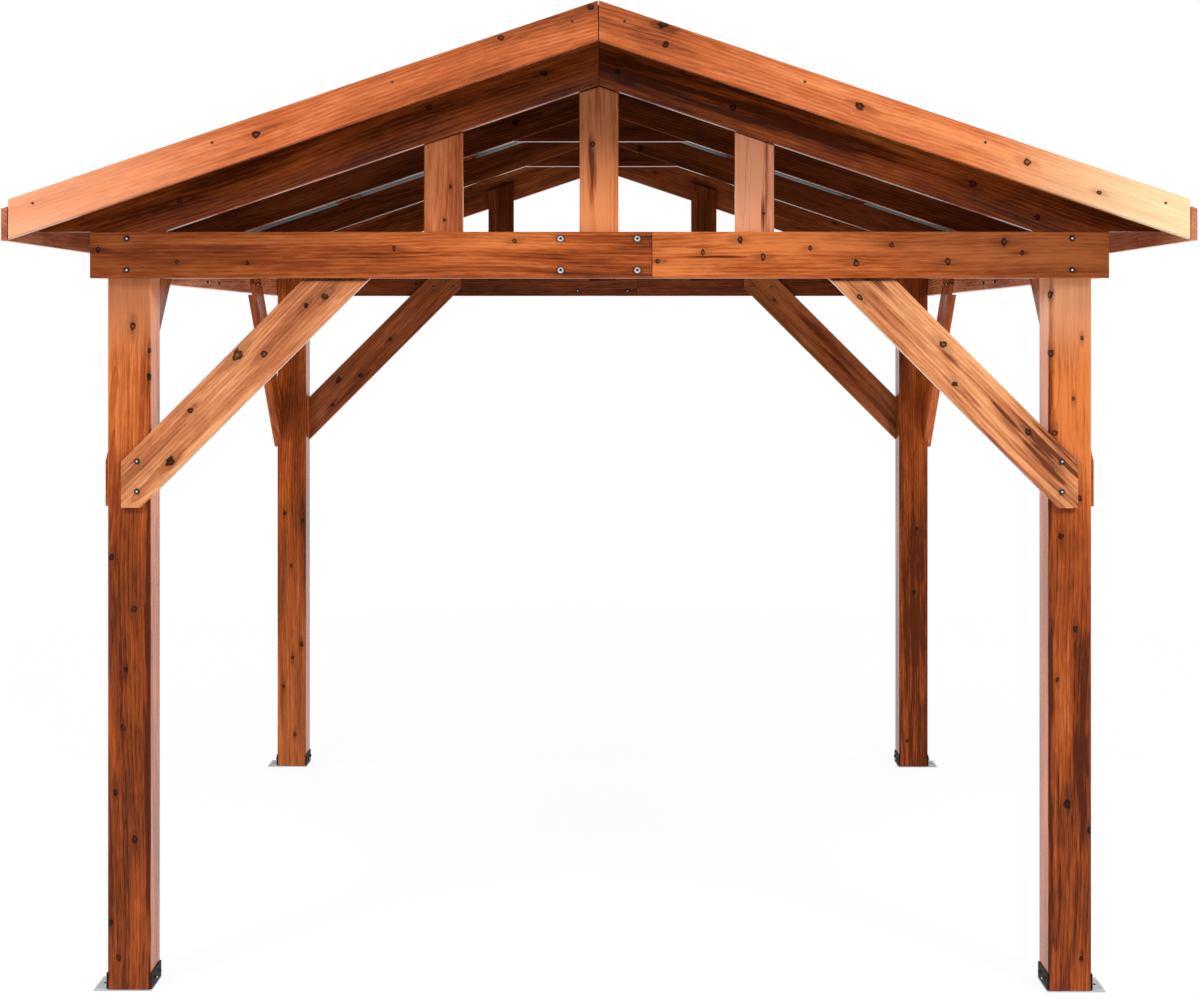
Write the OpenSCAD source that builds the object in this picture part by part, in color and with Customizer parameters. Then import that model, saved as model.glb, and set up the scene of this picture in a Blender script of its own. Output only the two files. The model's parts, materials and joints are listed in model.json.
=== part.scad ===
// Garden gazebo: an open timber frame on four posts with a gable roof of ribbed metal sheet.
// Millimetres, Z up, front gable facing -Y, origin on the ground at the middle of the frame.

/* [Frame] */
// Width over the outer faces of the posts, left to right
frame_w = 3200; // [2600:10:4200]
// Length over the outer faces of the posts, front to back
frame_l = 3500; // [2600:10:5000]
// Side of the square posts
post_w = 140; // [110:1:180]
// Height of the underside of the beams above the ground
head_h = 2320; // [1900:5:2700]
// Height of the beams and side headers
beam_h = 150; // [120:1:200]
// Thickness of beams, headers, braces, studs, ties and rafters
board_t = 38; // [30:1:50]
// Length that each beam runs on past the face of the side header
beam_end = 10; // [0:1:60]
// Length of the half-lap splice in beams and headers
splice_l = 345; // [200:5:500]
// Open joint at the shoulders of the splices, and between the rafters at the ridge
joint_gap = 2; // [0.5:0.5:6]
// Eased edge along the posts
post_ease = 5; // [1:0.5:10]
// Eased edge along all boards
board_ease = 2.5; // [0.5:0.5:5]

/* [Knee braces] */
// Width of the brace boards
brace_w = 150; // [110:1:180]
// Distance from the post's outer face to the brace's lower edge, at the beam's underside
brace_reach = 855; // [700:5:1100]
// Length of the small level cut at the brace's foot
brace_toe = 62; // [30:1:90]
// Distance of the brace's end cut from the post's outer edge, and from the beam's top
brace_inset = 48; // [20:1:60]
// Open shoulder between the brace and the underside of the beam
shoulder_gap = 8; // [2:0.5:15]

/* [Gable trusses] */
// Pitch of the roof in degrees
roof_angle = 18.6; // [10:0.1:28]
// Depth of the rafters in the front and rear gables
rafter_w = 140; // [120:1:180]
// Depth of the rafters in the two middle trusses
mid_rafter_w = 102; // [80:1:115]
// Height of the plumb cut at the rafters' tails
tail_h = 13; // [8:0.5:40]
// Width of the gable studs
stud_w = 126; // [90:1:150]
// Distance of the side studs from the upper ends of the braces
stud_gap = 137; // [20:1:300]
// Length of the stud's lap on the beam below it
stud_foot_l = 75; // [40:5:100]
// Length of the stud's lap on the rafter above it
stud_head_l = 88; // [40:2:110]
// Open shoulder between the studs and the underside of the rafters
stud_shoulder = 5; // [1:0.5:15]
// Height from the collar tie's underside up to the rafters' underside at the ridge
tie_h = 112; // [80:2:200]
// Width of the collar ties
tie_w = 95; // [70:1:130]
// Length of the collar tie's lap on the rafters, up the plumb line
tie_lap_l = 80; // [40:5:85]

/* [Roof] */
// Distance that the roof sheets reach past the posts at the eaves
eave_l = 240; // [150:5:320]
// Distance that the gable boards stand out in front of the posts
overhang = 384; // [150:2:600]
// Number of purlins on each slope
purlin_count = 4; // [3:1:7]
// Width of the purlins, laid flat on the rafters
purlin_w = 64; // [45:1:90]
// Thickness of the purlins
purlin_t = 45; // [30:1:60]
// Level distance from the ridge to the middle of the first purlin
ridge_purlin = 46; // [44:1:90]
// Level distance from the eave to the middle of the last purlin
eave_purlin = 165; // [90:5:300]
// Width of the sloping gable boards
barge_w = 117; // [100:1:160]
// Thickness of the sloping gable boards
barge_t = 25; // [15:1:40]
// Height of the gable boards above the ridge cap
barge_lip = 9; // [0.5:0.5:20]
// Gap between the two gable boards at the ridge, and to the eave boards
board_gap = 3; // [1:0.5:8]
// Height of the eave boards
fascia_h = 98; // [70:1:140]
// Thickness of the eave boards
fascia_t = 19; // [12:1:38]
// Distance that the roof sheets run past the eave boards
eave_drip = 8; // [0:1:40]

/* [Roof sheets] */
// Thickness of the roof sheets and the ridge cap
sheet_t = 2; // [1:0.5:4]
// Height of the ribs pressed into the roof sheets
rib_h = 10; // [6:0.5:30]
// Spacing of the ribs
rib_pitch = 230; // [120:5:350]
// Width of a rib at its foot
rib_foot = 48; // [40:1:80]
// Width of a rib at its crest
rib_crest = 24; // [16:1:34]
// Half of the gap that the ridge cap covers between the two sheets
ridge_gap = 12; // [2:1:30]
// Width of each wing of the ridge cap, down the slope
cap_wing = 130; // [70:5:200]
// Gap between the sheets and the gable boards
sheet_gap = 2; // [0.5:0.5:10]

/* [Post shoes] */
// Thickness of the steel of the post shoes
foot_t = 4; // [3:0.5:8]
// Height of the cheeks of the post shoes
cheek_h = 58; // [40:1:120]
// Length of the anchor flange outside the post
flange_l = 42; // [30:1:80]
// Diameter of the anchor hole in the flange
anchor_d = 12; // [8:0.5:16]

/* [Hidden] */
$fn = 48;
half_w = frame_w / 2;
half_l = frame_l / 2;
half_t = board_t / 2;
beam_top = head_h + beam_h;
roof_w = frame_w + 2 * eave_l;
pitch = roof_angle;
slope = tan(pitch);
far = roof_w + frame_l;
eps = 0.01;

// Inner face of the eave boards, where the rafters' tails end
fascia_x = roof_w / 2 - eave_drip - fascia_t;

// Underside of the gable rafters at the ridge, and levels above it square to the slope
apex_z = beam_top + tail_h + fascia_x * slope - rafter_w / cos(pitch);
purlin_n = rafter_w;
sheet_n = purlin_n + purlin_t;
cap_n = sheet_n + rib_h;
barge_n = cap_n + sheet_t + barge_lip - barge_w;

// Upright planes of the gables and spacing of the trusses
gable_y = half_l + overhang;
inner_y = gable_y - barge_t;
truss_pitch = (frame_l + board_t) / 3;

// Knee brace: heights are measured from the underside of the beam
brace_drop = brace_reach - brace_inset - brace_toe;
brace_top = beam_h - brace_inset;
brace_end = brace_reach + brace_top - brace_toe;

// Side studs, from the middle of the gable
stud_pitch = half_w - brace_end - stud_gap - stud_w / 2;

// Anchor holes
anchor_x = half_w + foot_t + flange_l / 2;
anchor_y = half_l - post_w / 2;

timber = "peru";
dark_timber = "sienna";
steel = "dimgray";
sheet_metal = "gainsboro";

// Cross-section of a squared timber with eased edges, from the origin
function eased(a, b, e) = [
    [e, 0], [a - e, 0], [a, e], [a, b - e],
    [a - e, b], [e, b], [0, b - e], [0, e]
];

// Board along X: thickness t along Y, width w along Z
module board(l, w, t) {
    rotate([90, 0, 90])
        linear_extrude(height = l)
            polygon(eased(t, w, board_ease));
}

// Upright box between two corners
module block(from, to) {
    translate(from)
        cube(to - from);
}

// The four sides of the frame, each seen from outside with the posts' outer faces at y = 0
module on_front() {
    translate([0, -half_l, 0])
        children();
}

module on_rear() {
    rotate([0, 0, 180])
        on_front()
            children();
}

module on_left() {
    translate([-half_w, 0, 0])
        rotate([0, 0, -90])
            children();
}

module on_right() {
    rotate([0, 0, 180])
        on_left()
            children();
}

// The mirror image across the middle of a side
module flip() {
    mirror([1, 0, 0])
        children();
}

// Post at the left end of the front
module post() {
    color(timber)
        translate([-half_w, -half_l, foot_t])
            linear_extrude(height = beam_top - foot_t)
                polygon(eased(post_w, post_w, post_ease));
}

// Shoe under that post: two cheeks, a sole and an anchor flange pointing outwards
module shoe() {
    color(steel)
        difference() {
            translate([-half_w, post_w - half_l, 0])
                rotate([90, 0, 0])
                    linear_extrude(height = post_w)
                        polygon([
                            [-foot_t - flange_l, 0], [post_w + foot_t, 0],
                            [post_w + foot_t, cheek_h], [post_w, cheek_h],
                            [post_w, foot_t], [0, foot_t],
                            [0, cheek_h], [-foot_t, cheek_h],
                            [-foot_t, foot_t], [-foot_t - flange_l, foot_t]
                        ]);
            translate([-anchor_x, -anchor_y, -foot_t])
                cylinder(d = anchor_d, h = 3 * foot_t);
        }
}

// Left board of a spliced beam: its outer half runs on over the splice
module beam_left(reach) {
    color(timber)
        difference() {
            translate([-reach, -board_t, head_h])
                board(reach + splice_l / 2 - joint_gap, beam_h, board_t);
            block([-splice_l / 2, -half_t, head_h - eps], [splice_l, board_t, beam_top + eps]);
        }
}

// Right board of a spliced beam: its inner half runs on under the splice
module beam_right(reach) {
    color(timber)
        difference() {
            translate([joint_gap - splice_l / 2, -board_t, head_h])
                board(reach + splice_l / 2 - joint_gap, beam_h, board_t);
            block([-splice_l, -2 * board_t, head_h - eps], [splice_l / 2, -half_t, beam_top + eps]);
        }
}

// Knee brace at the left end of a side: half-lapped over the post and behind the beam
module brace(half) {
    run = brace_drop + beam_h;
    color(timber)
        translate([-half, 0, head_h])
            difference() {
                intersection() {
                    translate([brace_reach, -half_t, 0])
                        rotate([0, -45, 0])
                            translate([-2 * run, 0, 0])
                                board(4 * run, brace_w, board_t);
                    block([brace_inset, -board_t, -brace_drop], [brace_end, board_t, brace_top]);
                }
                block([-eps, 0, -brace_drop - eps], [post_w, board_t, beam_h]);
                block([-eps, -board_t, -shoulder_gap], [brace_end + eps, 0, beam_h]);
            }
}

// Everything above a roof slope on the right, at a level square to the slope
module above_slope(level, deep) {
    translate([0, 0, apex_z])
        rotate([0, pitch, 0])
            translate([-far, -deep, level])
                cube([2 * far, 2 * deep, far]);
}

// Board down the right slope: its lower edge at a level square to the slope
module slope_board(level, w, t) {
    translate([0, 0, apex_z])
        rotate([0, pitch, 0])
            translate([-far / 2, 0, level])
                board(far, w, t);
}

// Rafter of the right slope: plumb at the ridge and the eave, level at the beams
module rafter(w, from_y) {
    color(timber)
        intersection() {
            translate([0, from_y, 0])
                slope_board(rafter_w - w, w, board_t);
            block(
                [joint_gap / 2, from_y - board_t, beam_top],
                [fascia_x, from_y + 2 * board_t, beam_top + far]
            );
        }
}

// Gable stud, half-lapped over the beam and the rafters
module stud(mid) {
    color(timber)
        difference() {
            translate([mid - stud_w / 2, -half_t, beam_top - stud_foot_l])
                linear_extrude(height = stud_foot_l + apex_z + rafter_w - beam_top)
                    polygon(eased(stud_w, board_t, board_ease));
            for (side = [0, 1])
                mirror([side, 0, 0]) {
                    above_slope(stud_head_l * cos(pitch), far);
                    intersection() {
                        above_slope(-stud_shoulder, far);
                        block([-far, -far, 0], [far, 0, 2 * far]);
                    }
                }
            block([mid - far, -far, 0], [mid + far, 0, beam_top]);
        }
}

// Collar tie behind a middle truss, half-lapped over both rafters
module collar_tie() {
    rafter_n = rafter_w - mid_rafter_w;
    low = apex_z + rafter_n / cos(pitch) - tie_h;
    color(dark_timber)
        difference() {
            translate([-half_w, 0, low])
                board(frame_w, tie_w, board_t);
            for (side = [0, 1])
                mirror([side, 0, 0]) {
                    above_slope(rafter_n + tie_lap_l * cos(pitch), far);
                    intersection() {
                        above_slope(rafter_n, far);
                        block([-far, -far, 0], [far, half_t, 2 * far]);
                    }
                }
        }
}

// Sloping gable board on the right of the front
module barge() {
    color(timber)
        intersection() {
            translate([0, -gable_y, 0])
                slope_board(barge_n, barge_w, barge_t);
            block([board_gap / 2, -gable_y - eps, 0], [fascia_x - board_gap, -inner_y + eps, 2 * far]);
        }
}

// Eave board on the right, its top edge bevelled to carry the sheets
module fascia() {
    low = apex_z + sheet_n / cos(pitch) - (fascia_x + fascia_t) * slope - fascia_h;
    color(timber)
        difference() {
            block([fascia_x, -gable_y, low], [fascia_x + fascia_t, gable_y, low + 2 * fascia_h]);
            above_slope(sheet_n, far);
        }
}

// Purlins of the right slope, laid flat on the rafters
module purlins() {
    last = roof_w / 2 - eave_purlin;
    middle_n = purlin_n + purlin_t / 2;
    color(dark_timber)
        for (i = [0 : purlin_count - 1]) {
            x = ridge_purlin + (last - ridge_purlin) * i / (purlin_count - 1);
            translate([x, inner_y, apex_z + middle_n / cos(pitch) - x * slope])
                rotate([0, pitch, 0])
                    translate([-purlin_w / 2, 0, -purlin_t / 2])
                        rotate([90, 0, 0])
                            linear_extrude(height = 2 * inner_y)
                                polygon(eased(purlin_w, purlin_t, board_ease));
        }
}

// Ribbed sheet of the right slope: one folded outline, drawn down the slope
module roof_sheet() {
    half_span = inner_y - sheet_gap;
    ribs = floor((2 * half_span - rib_foot) / rib_pitch);
    first = -ribs * rib_pitch / 2;
    crest = [
        for (i = [0 : ribs])
            each [
                [first + i * rib_pitch - rib_foot / 2, 0],
                [first + i * rib_pitch - rib_crest / 2, rib_h - sheet_t],
                [first + i * rib_pitch + rib_crest / 2, rib_h - sheet_t],
                [first + i * rib_pitch + rib_foot / 2, 0]
            ]
    ];
    under = concat([[-half_span, 0]], crest, [[half_span, 0]]);
    over = [for (i = [len(under) - 1 : -1 : 0]) under[i] + [0, sheet_t]];
    top = ridge_gap / cos(pitch) - sheet_n * tan(pitch);
    foot = roof_w / 2 / cos(pitch) - (sheet_n + rib_h) * tan(pitch);
    color(sheet_metal)
        translate([0, 0, apex_z])
            rotate([0, pitch, 0])
                translate([top, 0, sheet_n])
                    rotate([90, 0, 90])
                        linear_extrude(height = foot - top)
                            polygon(concat(under, over));
}

// Folded cap over the ridge, resting on the ribs of both sheets
module ridge_cap() {
    half_span = inner_y - sheet_gap;
    low_z = apex_z + cap_n / cos(pitch);
    reach = cap_wing * cos(pitch);
    fall = cap_wing * sin(pitch);
    rise = sheet_t / cos(pitch);
    color(sheet_metal)
        translate([0, half_span, low_z])
            rotate([90, 0, 0])
                linear_extrude(height = 2 * half_span)
                    polygon([
                        [0, 0], [reach, -fall], [reach, rise - fall],
                        [0, rise], [-reach, rise - fall], [-reach, -fall]
                    ]);
}

module front_beam_left() {
    on_front()
        beam_left(half_w + board_t + beam_end);
}

module front_beam_right() {
    on_front()
        beam_right(half_w + board_t + beam_end);
}

post();  // post_front_left
flip() post();  // post_front_right
rotate([0, 0, 180]) flip() post();  // post_rear_left
rotate([0, 0, 180]) post();  // post_rear_right

shoe();  // shoe_front_left
flip() shoe();  // shoe_front_right
rotate([0, 0, 180]) flip() shoe();  // shoe_rear_left
rotate([0, 0, 180]) shoe();  // shoe_rear_right

front_beam_left();
front_beam_right();
rotate([0, 0, 180]) front_beam_right();  // rear_beam_left
rotate([0, 0, 180]) front_beam_left();  // rear_beam_right

on_left() beam_right(half_l);  // left_header_front
on_left() beam_left(half_l);  // left_header_rear
on_right() beam_left(half_l);  // right_header_front
on_right() beam_right(half_l);  // right_header_rear

on_front() brace(half_w);  // front_brace_left
on_front() flip() brace(half_w);  // front_brace_right
on_rear() flip() brace(half_w);  // rear_brace_left
on_rear() brace(half_w);  // rear_brace_right
on_left() flip() brace(half_l);  // left_brace_front
on_left() brace(half_l);  // left_brace_rear
on_right() brace(half_l);  // right_brace_front
on_right() flip() brace(half_l);  // right_brace_rear

on_front() flip() rafter(rafter_w, -board_t);  // front_rafter_left
on_front() rafter(rafter_w, -board_t);  // front_rafter_right
on_rear() rafter(rafter_w, -board_t);  // rear_rafter_left
on_rear() flip() rafter(rafter_w, -board_t);  // rear_rafter_right

on_front() stud(-stud_pitch);  // front_stud_left
on_front() stud(0);  // front_stud_middle
on_front() stud(stud_pitch);  // front_stud_right
on_rear() stud(stud_pitch);  // rear_stud_left
on_rear() stud(0);  // rear_stud_middle
on_rear() stud(-stud_pitch);  // rear_stud_right

flip() rafter(mid_rafter_w, -truss_pitch / 2 - half_t);  // truss_rafter_front_left
rafter(mid_rafter_w, -truss_pitch / 2 - half_t);  // truss_rafter_front_right
translate([0, -truss_pitch / 2, 0]) collar_tie();  // collar_tie_front
flip() rafter(mid_rafter_w, truss_pitch / 2 - half_t);  // truss_rafter_rear_left
rafter(mid_rafter_w, truss_pitch / 2 - half_t);  // truss_rafter_rear_right
translate([0, truss_pitch / 2, 0]) collar_tie();  // collar_tie_rear

flip() barge();  // front_barge_left
barge();  // front_barge_right
rotate([0, 0, 180]) barge();  // rear_barge_left
rotate([0, 0, 180]) flip() barge();  // rear_barge_right

flip() fascia();  // left_fascia
fascia();  // right_fascia
flip() purlins();  // left_purlins
purlins();  // right_purlins
flip() roof_sheet();  // left_roof_sheet
roof_sheet();  // right_roof_sheet
ridge_cap();
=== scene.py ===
import json
import math
import bpy
from mathutils import Matrix, Vector


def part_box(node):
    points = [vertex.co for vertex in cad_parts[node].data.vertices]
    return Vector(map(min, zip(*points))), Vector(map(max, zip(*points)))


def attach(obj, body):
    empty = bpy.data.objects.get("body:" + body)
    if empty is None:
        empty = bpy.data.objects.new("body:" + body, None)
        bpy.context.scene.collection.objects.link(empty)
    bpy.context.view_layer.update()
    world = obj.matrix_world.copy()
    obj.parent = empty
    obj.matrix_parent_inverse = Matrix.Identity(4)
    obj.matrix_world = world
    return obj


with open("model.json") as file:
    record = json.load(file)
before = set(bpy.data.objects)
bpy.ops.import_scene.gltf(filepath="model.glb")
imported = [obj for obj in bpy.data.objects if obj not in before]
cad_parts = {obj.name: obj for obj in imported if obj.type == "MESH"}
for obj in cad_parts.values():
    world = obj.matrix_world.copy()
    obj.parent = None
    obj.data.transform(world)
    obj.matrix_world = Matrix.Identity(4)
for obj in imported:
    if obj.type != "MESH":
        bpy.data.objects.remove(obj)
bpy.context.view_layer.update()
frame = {"nodes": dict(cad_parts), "record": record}
nodes = frame["nodes"]
scene = bpy.context.scene
scene.view_settings.view_transform = "Standard"
bpy.ops.object.select_all(action="DESELECT")
print("frame loaded,", len(nodes), "nodes")

# the planes that most things are measured from
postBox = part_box("post_front_left")
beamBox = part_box("front_beam_left")
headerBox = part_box("left_header_front")
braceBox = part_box("front_brace_left")
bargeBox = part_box("front_barge_right")
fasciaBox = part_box("right_fascia")
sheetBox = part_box("right_roof_sheet")
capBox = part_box("ridge_cap")
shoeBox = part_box("shoe_front_left")
postFace = postBox[0].y          # outer faces of the front posts
postSide = postBox[0].x          # outer faces of the left posts
beamFace = beamBox[0].y
beamLow = beamBox[0].z
beamTop = beamBox[1].z


# camera and light

cameraSet = {
    "x": 0.032,              # a touch right of the middle
    "distance": 6.554,       # in front of the posts
    "height": 2.156,
    "turn": 0.0044,          # radians to the left
    "lens": 60.45,
    "shiftY": -0.1418,       # the photograph is framed low
}


def addCamera(use):
    place = (use["x"], postFace - use["distance"], use["height"])
    bpy.ops.object.camera_add(location=place, rotation=(math.pi / 2, 0, use["turn"]))
    camera = bpy.context.object
    camera.name = "photoCamera"
    camera.data.lens = use["lens"]
    camera.data.shift_y = use["shiftY"]
    scene.camera = camera


lampSet = {
    "leftSoftbox": {"at": (-3.3, -4.5, 4.5), "aim": (-1.3, -1.9, 2.2), "size": 1.5, "power": 215},
    "rightSoftbox": {"at": (3.3, -4.5, 4.5), "aim": (1.3, -1.9, 2.2), "size": 1.5, "power": 240},
    "frontFill": {"at": (0.0, -9.5, 2.6), "aim": (0.0, -1.8, 1.8), "size": 4.0, "power": 45},
    "leftSide": {"at": (-7.0, 0.2, 2.4), "aim": (0.0, 0.0, 1.9), "size": 3.0, "power": 230},
    "rightSide": {"at": (7.0, 0.2, 2.4), "aim": (0.0, 0.0, 1.9), "size": 3.0, "power": 230},
    "floorGlow": {"at": (0.0, 0.3, 0.004), "aim": (0.0, 0.3, 3.0), "size": 4.6, "power": 75},
    "rearLeft": {"at": (-3.6, 6.2, 4.2), "aim": (-0.8, 1.8, 2.0), "size": 2.0, "power": 150},
    "rearRight": {"at": (3.6, 6.2, 4.2), "aim": (0.8, 1.8, 2.0), "size": 2.0, "power": 150},
}


def addLamp(name, use):
    bpy.ops.object.light_add(type="AREA", location=use["at"])
    lamp = bpy.context.object
    lamp.name = name
    lamp.data.size = use["size"]
    lamp.data.energy = use["power"]
    toward = Vector(use["aim"]) - Vector(use["at"])
    lamp.rotation_euler = toward.to_track_quat("-Z", "Y").to_euler()
    lamp.visible_camera = False
    lamp.visible_glossy = False


# node helpers

mixFactor, mixA, mixB, mixOut = 0, 6, 7, 2    # colour sockets of the Mix node


def put(tree, kind, inputs, **settings):
    node = tree.nodes.new(kind)
    for key, value in settings.items():
        setattr(node, key, value)
    for key, value in inputs.items():
        if isinstance(value, bpy.types.NodeSocket):
            tree.links.new(value, node.inputs[key])
        else:
            node.inputs[key].default_value = value
    return node.outputs


def useGroup(tree, group, inputs):
    return put(tree, "ShaderNodeGroup", inputs, node_tree=group)


def calc(tree, operation, a, b=0.0, clamp=False):
    return put(tree, "ShaderNodeMath", {0: a, 1: b}, operation=operation, use_clamp=clamp)[0]


def plus(tree, base, part, share):
    return calc(tree, "ADD", base, calc(tree, "MULTIPLY", part, share))


def vec(tree, operation, a, b=(0, 0, 0), c=(0, 0, 0)):
    inputs = {0: a, 1: b}
    if operation == "MULTIPLY_ADD":
        inputs[2] = c
    made = put(tree, "ShaderNodeVectorMath", inputs, operation=operation)
    return made["Value"] if operation == "LENGTH" else made["Vector"]


def ramp(tree, value, low, high, outLow=0.0, outHigh=1.0):
    inputs = {"Value": value, "From Min": low, "From Max": high, "To Min": outLow, "To Max": outHigh}
    return put(tree, "ShaderNodeMapRange", inputs, interpolation_type="SMOOTHSTEP")[0]


def blend(tree, factor, a, b, mode="MIX"):
    inputs = {mixFactor: factor, mixA: a, mixB: b}
    return put(tree, "ShaderNodeMix", inputs, data_type="RGBA", blend_type=mode, clamp_factor=True)[mixOut]


def speckle(tree, where, stretch, detail, rough):
    placed = vec(tree, "MULTIPLY", where, stretch)
    inputs = {"Vector": placed, "Scale": 1.0, "Detail": detail, "Roughness": rough}
    return put(tree, "ShaderNodeTexNoise", inputs)[0]


def centred(tree, noise):
    # noise on both sides of zero
    return calc(tree, "SUBTRACT", noise, 0.5)


vectorIn = ("Vector", "Vector", (0, 0, 0))


def newGroup(name, sockets, results):
    tree = bpy.data.node_groups.new(name, "ShaderNodeTree")
    for label, kind, value in sockets:
        socket = tree.interface.new_socket(name=label, in_out="INPUT", socket_type="NodeSocket" + kind)
        socket.default_value = value
    for label, kind in results:
        tree.interface.new_socket(name=label, in_out="OUTPUT", socket_type="NodeSocket" + kind)
    start = tree.nodes.new("NodeGroupInput").outputs
    end = tree.nodes.new("NodeGroupOutput").inputs
    return tree, start, end


def newMaterial(name):
    material = bpy.data.materials.new(name)
    material.use_nodes = True
    tree = material.node_tree
    tree.nodes.clear()
    return material, tree


def seenDirectly(tree):
    # 1 for what the eye, a polished face or glass looks at
    path = put(tree, "ShaderNodeLightPath", {})
    either = calc(tree, "ADD", path["Is Camera Ray"], path["Is Glossy Ray"])
    return calc(tree, "ADD", either, path["Is Transmission Ray"], clamp=True)


# floor and room

roomSet = {"ambient": 0.24, "ambientTint": (0.97, 0.98, 1.0, 1), "white": (1, 1, 1, 1)}
floorSet = {
    "radius": 45.0,
    "sides": 96,
    "tint": (0.86, 0.86, 0.86, 1),
    "nearWhite": 0.93,       # share of plain white beside the posts, the rest takes their shadow
    "nearEdge": 3.0,
    "farEdge": 9.0,
}


def buildRoom(use):
    world = bpy.data.worlds.new("paleRoom")
    world.use_nodes = True
    scene.world = world
    tree = world.node_tree
    tree.nodes.clear()
    light = put(tree, "ShaderNodeBackground", {"Color": use["ambientTint"], "Strength": use["ambient"]})
    white = put(tree, "ShaderNodeBackground", {"Color": use["white"], "Strength": 1.0})
    both = put(tree, "ShaderNodeMixShader", {0: seenDirectly(tree), 1: light[0], 2: white[0]})
    put(tree, "ShaderNodeOutputWorld", {"Surface": both[0]})


def buildFloor(use):
    bpy.ops.mesh.primitive_circle_add(vertices=use["sides"], radius=use["radius"], fill_type="NGON")
    floor = bpy.context.object
    floor.name = "paleFloor"
    material, tree = newMaterial("paleFloor")
    where = put(tree, "ShaderNodeTexCoord", {})["Object"]
    away = vec(tree, "LENGTH", where)
    white = ramp(tree, away, use["nearEdge"], use["farEdge"], use["nearWhite"], 1.0)
    share = calc(tree, "MULTIPLY", white, seenDirectly(tree))
    matt = put(tree, "ShaderNodeBsdfDiffuse", {"Color": use["tint"]})
    plain = put(tree, "ShaderNodeEmission", {"Color": roomSet["white"], "Strength": 1.0})
    both = put(tree, "ShaderNodeMixShader", {0: share, 1: matt[0], 2: plain[0]})
    put(tree, "ShaderNodeOutputMaterial", {"Surface": both[0]})
    floor.data.materials.append(material)
    bpy.ops.object.select_all(action="DESELECT")


addCamera(cameraSet)
for lampName, lampUse in lampSet.items():
    addLamp(lampName, lampUse)
buildRoom(roomSet)
buildFloor(floorSet)
print("camera, lamps and floor are set")


# stained cedar

knotShape = {
    "rim": (1.12, 0.8),          # in radii: where the knot starts and where it is darkest
    "middle": (0.5, 0.15),       # the same for its pale middle
    "trail": (0.32, 0.5, 1.0),   # draws the halo out: along the grain, into the board, across it
    "halo": (2.2, 0.5),
    "wobble": 1.5,
    "pull": 0.8,                 # how far the grain bends aside
}


def buildKnotMark(use):
    # one knot: bends the grain around itself and passes on the darkest mark so far
    tree, start, end = newGroup("knotMark", [
        vectorIn,
        ("Middle", "Vector", (0, 0, 0)),
        ("Radius", "Float", 0.012),
        ("Strength", "Float", 1.0),
        ("Ragged", "Float", 0.0),
        ("Squash", "Vector", (0.8, 0.5, 1.0)),
        ("Pale Heart", "Float", 0.14),
        ("Core So Far", "Float", 0.0),
        ("Halo So Far", "Float", 0.0),
    ], [("Vector", "Vector"), ("Core", "Float"), ("Halo", "Float")])
    apart = vec(tree, "SUBTRACT", start["Vector"], start["Middle"])
    squeezed = vec(tree, "MULTIPLY", apart, start["Squash"])
    steps = calc(tree, "DIVIDE", vec(tree, "LENGTH", squeezed), start["Radius"])
    steps = plus(tree, steps, start["Ragged"], use["wobble"])
    pale = calc(tree, "MULTIPLY", ramp(tree, steps, *use["middle"]), start["Pale Heart"])
    rim = calc(tree, "SUBTRACT", ramp(tree, steps, *use["rim"]), pale)
    core = calc(tree, "MULTIPLY", rim, start["Strength"])
    drawn = vec(tree, "MULTIPLY", apart, use["trail"])
    trail = calc(tree, "DIVIDE", vec(tree, "LENGTH", drawn), start["Radius"])
    trail = calc(tree, "ADD", trail, start["Ragged"])
    halo = calc(tree, "MULTIPLY", ramp(tree, trail, *use["halo"]), start["Strength"])
    pull = calc(tree, "MULTIPLY", calc(tree, "MULTIPLY", halo, halo), -use["pull"])
    tree.links.new(vec(tree, "MULTIPLY_ADD", apart, pull, start["Vector"]), end["Vector"])
    tree.links.new(calc(tree, "MAXIMUM", core, start["Core So Far"]), end["Core"])
    tree.links.new(calc(tree, "MAXIMUM", halo, start["Halo So Far"]), end["Halo"])
    return tree


strayShape = {
    "spacing": (1.9, 7.0, 7.0),      # cells in a metre, with one knot at most in each
    "seedStep": (5.3, 2.9, 3.7),
    "scatter": 0.85,
    "radius": 0.006,
    "more": 0.008,                   # what chance may add to the radius
}


def buildStrayKnots(use, knotMark):
    # knots scattered through the board, about as many as Amount says
    tree, start, end = newGroup("strayKnots", [
        vectorIn,
        ("Seed", "Float", 0.0),
        ("Amount", "Float", 0.4),
        ("Ragged", "Float", 0.0),
    ], [("Vector", "Vector"), ("Core", "Float"), ("Halo", "Float")])
    spaced = vec(tree, "MULTIPLY", start["Vector"], use["spacing"])
    moved = vec(tree, "MULTIPLY_ADD", start["Seed"], use["seedStep"], spaced)
    cell = put(tree, "ShaderNodeTexVoronoi", {"Vector": moved, "Scale": 1.0, "Randomness": use["scatter"]})
    stepBack = [-step for step in use["seedStep"]]
    back = vec(tree, "MULTIPLY_ADD", start["Seed"], stepBack, cell["Position"])
    middle = vec(tree, "DIVIDE", back, use["spacing"])
    dice = put(tree, "ShaderNodeSeparateColor", {"Color": cell["Color"]})
    present = calc(tree, "LESS_THAN", dice["Red"], start["Amount"])
    radius = plus(tree, use["radius"], dice["Green"], use["more"])
    mark = useGroup(tree, knotMark, {
        "Vector": start["Vector"], "Middle": middle, "Radius": radius, "Strength": present,
        "Ragged": start["Ragged"],
    })
    for label in ("Vector", "Core", "Halo"):
        tree.links.new(mark[label], end[label])
    return tree


markShape = {"ragged": 2.2, "edge": (1.2, 0.25)}      # the edge fades from outside to inside


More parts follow.
